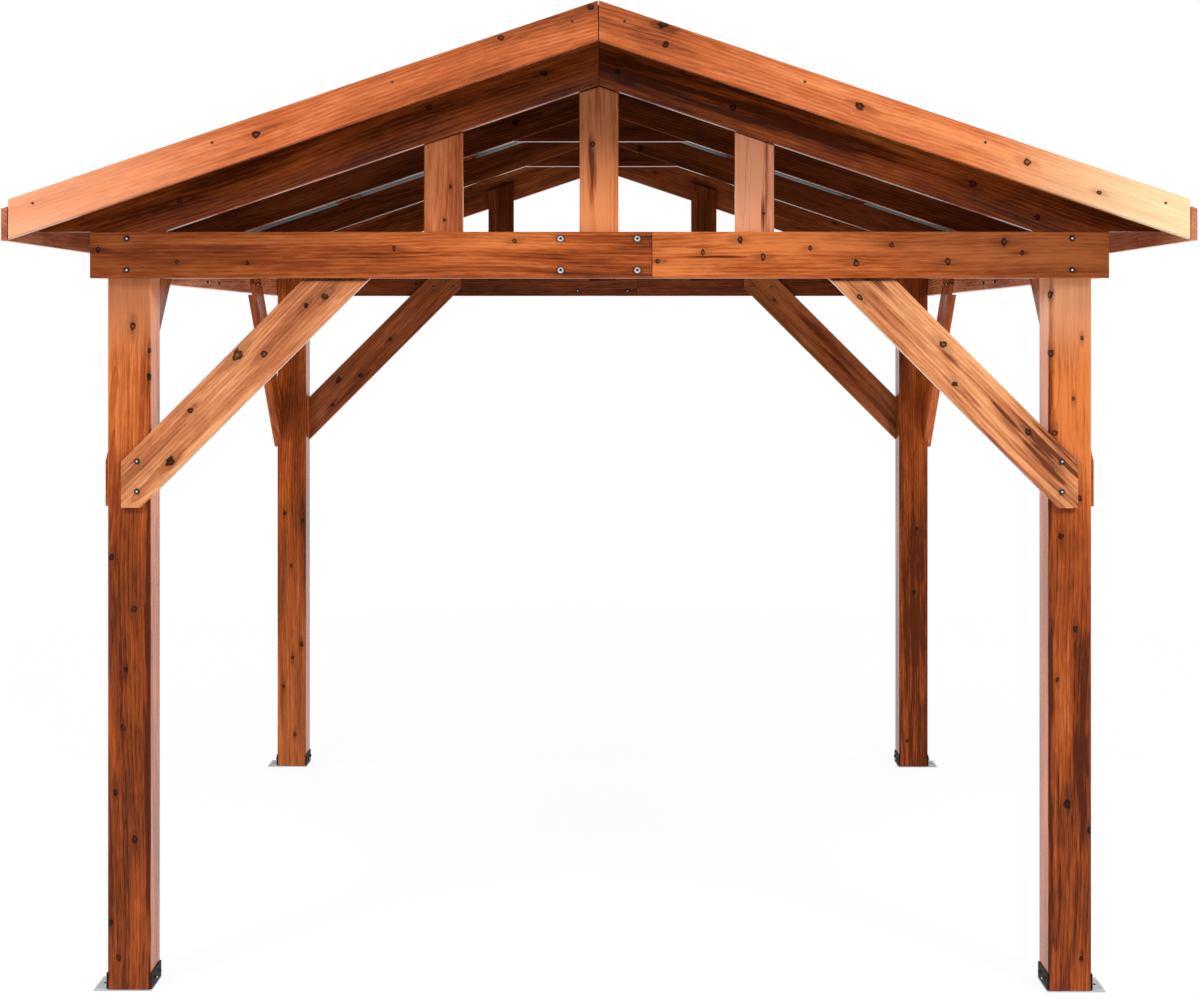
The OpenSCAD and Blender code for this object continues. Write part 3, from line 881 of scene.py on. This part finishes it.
def roundTop(piece, width, steps):
    editOn(piece, "EDGE")
    top = max(vertex.co.z for vertex in piece.data.vertices)
    for edge in piece.data.edges:
        edge.select = all(piece.data.vertices[v].co.z > top - closeTo for v in edge.vertices)
    bpy.ops.object.mode_set(mode="EDIT")
    bpy.ops.mesh.bevel(offset=width, segments=steps, affect="EDGES")
    bpy.ops.object.mode_set(mode="OBJECT")


def disc(name, sides, radius, depth):
    bpy.ops.object.select_all(action="DESELECT")
    middle = (0, 0, depth / 2)
    bpy.ops.mesh.primitive_cylinder_add(vertices=sides, radius=radius, depth=depth, location=middle)
    piece = bpy.context.object
    piece.name = name
    bpy.ops.object.transform_apply(location=True, rotation=True, scale=True)
    return piece


def sinkSocket(piece, level, inset, depth):
    pickTop(piece, level)
    bpy.ops.mesh.inset(thickness=inset, depth=0)
    bpy.ops.mesh.extrude_region_move(TRANSFORM_OT_translate={"value": (0, 0, -depth)})
    bpy.ops.object.mode_set(mode="OBJECT")


def finishShape(piece, metal, socket=None):
    # a socket has its own metals: the floor, whose faces are still picked, and the wall around it, dark as
    # painted shade
    piece.data.materials.clear()
    piece.data.materials.append(metals[metal])
    if socket:
        floorMetal, wallShadeMetal, reach = socket
        piece.data.materials.append(metals[floorMetal])
        piece.data.materials.append(metals[wallShadeMetal])
        for face in piece.data.polygons:
            if face.select:
                face.material_index = 1
            elif face.center.xy.length < reach:
                face.material_index = 2
            else:
                face.material_index = 0
    pickOnly(piece)
    bpy.ops.object.shade_smooth_by_angle(angle=math.radians(smoothAngle))
    return piece


# sizes in metres, and the sides and rounding steps of each form
hexSides = 6
washerForm = {"sides": 24, "round": 0.45, "steps": 2}    # the rounding is a share of the depth
boltForm = {"sides": 20, "steps": 3, "reach": 1.05}      # the reach, in socket radii, takes in its wall
spliceBoltSet = {
    "washer": 0.0128, "washerDeep": 0.0020,
    "head": 0.0112, "headDeep": 0.0060, "round": 0.0048,
    "socket": 0.0046, "socketDeep": 0.0032,
    # the dark socket floor is painted shade
    "metal": "brightZinc", "floor": "darkZinc",
}
smallBoltSet = {
    "washer": 0.0098, "washerDeep": 0.0016,
    "head": 0.0088, "headDeep": 0.0046, "round": 0.0030,
    "socket": 0.0034, "socketDeep": 0.0008,
    # the bright socket floor in a dark head is a painted glint
    "metal": "darkZinc", "floor": "zincSteel",
}
nutSet = {
    "washer": 0.0080, "washerDeep": 0.0016,
    "nut": 0.0064, "nutDeep": 0.0060, "nutRound": 0.0009,
    "stub": 0.0028, "stubDeep": 0.0090, "stubRound": 0.001, "stubSides": 12,
}
screwSet = {"head": 0.0044, "headDeep": 0.0003, "socket": 0.0018, "socketDeep": 0.0002, "sides": 16}
roofScrewSet = {
    "washer": 0.0095, "washerDeep": 0.0014, "washerRound": 0.00084, "washerSides": 12,
    "head": 0.0056, "headDeep": 0.0042, "headRound": 0.0012,
}


def modelWasher(name, radius, depth, metal):
    piece = disc(name, washerForm["sides"], radius, depth)
    roundTop(piece, depth * washerForm["round"], washerForm["steps"])
    return finishShape(piece, metal)


def modelBolt(use):
    top = use["washerDeep"] + use["headDeep"]
    head = disc("boltHead", boltForm["sides"], use["head"], top)
    roundTop(head, use["round"], boltForm["steps"])
    sinkSocket(head, top, use["head"] - use["round"] - use["socket"], use["socketDeep"])
    finishShape(head, use["metal"], (use["floor"], "darkZinc", use["socket"] * boltForm["reach"]))
    # the dark washer is partly painted shadow around the head
    washer = modelWasher("boltWasher", use["washer"], use["washerDeep"], "darkZinc")
    return [head, washer]


def modelNut(use):
    nut = disc("nut", hexSides, use["nut"], use["washerDeep"] + use["nutDeep"])
    roundTop(nut, use["nutRound"], steps=1)
    finishShape(nut, "darkZinc")
    stub = disc("stub", use["stubSides"], use["stub"], use["washerDeep"] + use["stubDeep"])
    roundTop(stub, use["stubRound"], steps=1)
    finishShape(stub, "zincSteel")
    washer = modelWasher("nutWasher", use["washer"], use["washerDeep"], "darkZinc")
    return [nut, stub, washer]


def modelScrew(use):
    head = disc("screwHead", use["sides"], use["head"], use["headDeep"])
    sinkSocket(head, use["headDeep"], use["head"] - use["socket"], use["socketDeep"])
    return [finishShape(head, "darkZinc")]


def modelRoofScrew(use):
    washer = disc("roofWasher", use["washerSides"], use["washer"], use["washerDeep"])
    roundTop(washer, use["washerRound"], steps=1)
    finishShape(washer, "darkZinc")
    head = disc("roofHead", hexSides, use["head"], use["washerDeep"] + use["headDeep"])
    roundTop(head, use["headRound"], steps=1)
    return [washer, finishShape(head, "greyZinc")]


def setOut(name, shapes, places):
    # one joined piece: the fastener copied to every place, its axis turned to the way it faces
    copies = []
    for at, facing in places:
        turn = Vector(facing).to_track_quat("Z", "Y").to_matrix().to_4x4()
        for shape in shapes:
            mesh = shape.data.copy()
            mesh.transform(Matrix.Translation(Vector(at)) @ turn)
            copy = bpy.data.objects.new(name, mesh)
            scene.collection.objects.link(copy)
            copies.append(copy)
    bpy.ops.object.select_all(action="DESELECT")
    for copy in copies:
        copy.select_set(True)
    bpy.context.view_layer.objects.active = copies[0]
    bpy.ops.object.join()
    piece = bpy.context.object
    piece.name = name
    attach(piece, "root")


def mirrored(places):
    # the same places on the other side of the frame
    return [((-at[0], at[1], at[2]), (-way[0], way[1], way[2])) for at, way in places]


def turned(places):
    # the same places at the rear
    return [((-at[0], -at[1], at[2]), (-way[0], -way[1], way[2])) for at, way in places]


fastenerPlaces = {
    "spliceOut": 0.124,      # bolts each side of a splice's middle
    "endIn": 0.072,          # end bolts, in from the posts' outer faces
    "rowDown": 0.022,        # upper row, below the beam's top
    "rowUp": 0.026,          # lower row, above the beam's underside
    "footIn": 0.100,         # brace foot, in from the post's outer face
    "footRows": (0.594, 0.692),      # below the beam's underside
    "topIn": (0.758, 0.856),         # brace top, in from the post's outer face
    "topUp": 0.040,
}


def placeFasteners(use, spliceBolt, smallBolt, nut):
    half = -postSide
    halfLong = -postFace
    rows = (beamTop - use["rowDown"], beamLow + use["rowUp"])
    headerFace = headerBox[0].x
    braceFace = braceBox[0].y
    braceBack = braceBox[1].y
    thick = braceBack - postFace
    splice = (-use["spliceOut"], use["spliceOut"])
    frontSplice = [((x, beamFace, z), (0, -1, 0)) for z in rows for x in splice]
    sideSplice = [((headerFace, y, z), (-1, 0, 0)) for z in rows for y in splice]
    endX = half - use["endIn"]
    endY = halfLong - use["endIn"]
    frontEnds = [((side * endX, beamFace, z), (0, -1, 0)) for z in rows for side in (-1, 1)]
    sideEnds = [((headerFace, side * endY, z), (-1, 0, 0)) for z in rows for side in (-1, 1)]
    frontNuts = [((x, postFace, z), (0, 1, 0)) for z in rows for x in splice]
    sideNuts = [((postSide, y, z), (1, 0, 0)) for z in rows for y in splice]
    frontFeet = [((side * (half - use["footIn"]), braceFace, beamLow - down), (0, -1, 0))
                 for side in (-1, 1) for down in use["footRows"]]
    sideFeet = [((postSide - thick, side * (halfLong - use["footIn"]), beamLow - down), (-1, 0, 0))
                for side in (-1, 1) for down in use["footRows"]]
    frontTops = [((side * (half - inward), braceBack, beamLow + use["topUp"]), (0, 1, 0))
                 for side in (-1, 1) for inward in use["topIn"]]
    sideTops = [((postSide + thick, side * (halfLong - inward), beamLow + use["topUp"]), (1, 0, 0))
                for side in (-1, 1) for inward in use["topIn"]]
    for kind, shapes, front, side in (("splice", spliceBolt, frontSplice, sideSplice),
                                      ("end", smallBolt, frontEnds, sideEnds),
                                      ("brace", smallBolt, frontFeet, sideFeet)):
        setOut("front_" + kind + "_bolts", shapes, front)
        setOut("rear_" + kind + "_bolts", shapes, turned(front))
        setOut("side_" + kind + "_bolts", shapes, side + mirrored(side))
    innerNuts = frontNuts + turned(frontNuts) + sideNuts + mirrored(sideNuts)
    setOut("splice_nuts", nut, innerNuts)
    innerTops = frontTops + turned(frontTops) + sideTops + mirrored(sideTops)
    setOut("brace_top_bolts", nut, innerTops)


spliceBoltShapes = modelBolt(spliceBoltSet)
smallBoltShapes = modelBolt(smallBoltSet)
nutShapes = modelNut(nutSet)
placeFasteners(fastenerPlaces, spliceBoltShapes, smallBoltShapes, nutShapes)

cheekBoltSet = {"up": 0.034, "apart": 0.032}


def placeShoeBolts(use, shapes):
    middle = (postBox[0].y + postBox[1].y) / 2
    cheek = shoeBox[1].x - postBox[1].x      # thickness of a cheek
    outer = postSide - cheek
    inner = shoeBox[1].x
    places = []
    for step in (-use["apart"], use["apart"]):
        places.append(((outer, middle + step, use["up"]), (-1, 0, 0)))
        places.append(((inner, middle + step, use["up"]), (1, 0, 0)))
    allFour = places + mirrored(places) + turned(places + mirrored(places))
    setOut("shoe_bolts", shapes, allFour)


placeShoeBolts(cheekBoltSet, nutShapes)

boardScrewSet = {
    "along": (0.080, 0.632, 1.184, 1.735),   # in the gable boards, out from the ridge
    "above": 0.024,                          # above the boards' middle line
    "eaveRows": (-0.025, 0.02),              # in the eave boards, below and above their middle
}
slope = math.tan(math.radians(pitch))


def placeBoardScrews(use):
    screw = modelScrew(screwSet)
    middle = (bargeBox[1].z + bargeBox[0].z) / 2
    halfRun = (bargeBox[1].x + bargeBox[0].x) / 2
    front = []
    for x in use["along"]:
        z = middle - (x - halfRun) * slope + use["above"]
        front.append(((x, bargeBox[0].y, z), (0, -1, 0)))
    front += mirrored(front)
    setOut("front_barge_screws", screw, front)
    setOut("rear_barge_screws", screw, turned(front))
    trussRows = [(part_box(name)[0].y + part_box(name)[1].y) / 2
                 for name in ("front_rafter_right", "truss_rafter_front_right",
                              "truss_rafter_rear_right", "rear_rafter_right")]
    level = (fasciaBox[0].z + fasciaBox[1].z) / 2
    eave = [((fasciaBox[1].x, y, level + rise), (1, 0, 0)) for y in trussRows for rise in use["eaveRows"]]
    setOut("fascia_screws", screw, eave + mirrored(eave))
    return screw


roofRowSet = {
    "out": (0.595, 1.132, 1.675),    # rows over the purlins, out from the ridge
    "capOut": 0.088,                 # rows through the ridge cap
    "first": -2.07, "step": 0.23, "count": 19,
    "beside": 0.038,                 # beside each rib
    "sheet": 0.002,
    "rib": 0.010,
}


def placeRoofScrews(use):
    screw = modelRoofScrew(roofScrewSet)
    lean = math.radians(pitch)
    upright = (math.sin(lean), 0, math.cos(lean))
    footX = sheetBox[1].x - use["rib"] * upright[0]       # lower edge of the sheet at the eave
    rows = [use["first"] + use["step"] * i + use["beside"] for i in range(use["count"] - 1)]
    places = []
    for x in use["out"]:
        z = sheetBox[0].z + (footX - x) * slope + use["sheet"] / upright[2]
        places += [((x, y, z), upright) for y in rows]
    setOut("roof_screws", screw, places + mirrored(places))
    capTop = capBox[1].z - use["capOut"] * slope
    onCap = [((use["capOut"], y, capTop), upright) for y in rows[::2]]
    setOut("ridge_screws", screw, onCap + mirrored(onCap))
    return screw


shapesUsed = spliceBoltShapes + smallBoltShapes + nutShapes
shapesUsed += placeBoardScrews(boardScrewSet) + placeRoofScrews(roofRowSet)
for shape in shapesUsed:
    bpy.data.objects.remove(shape)
print("fasteners are in place")
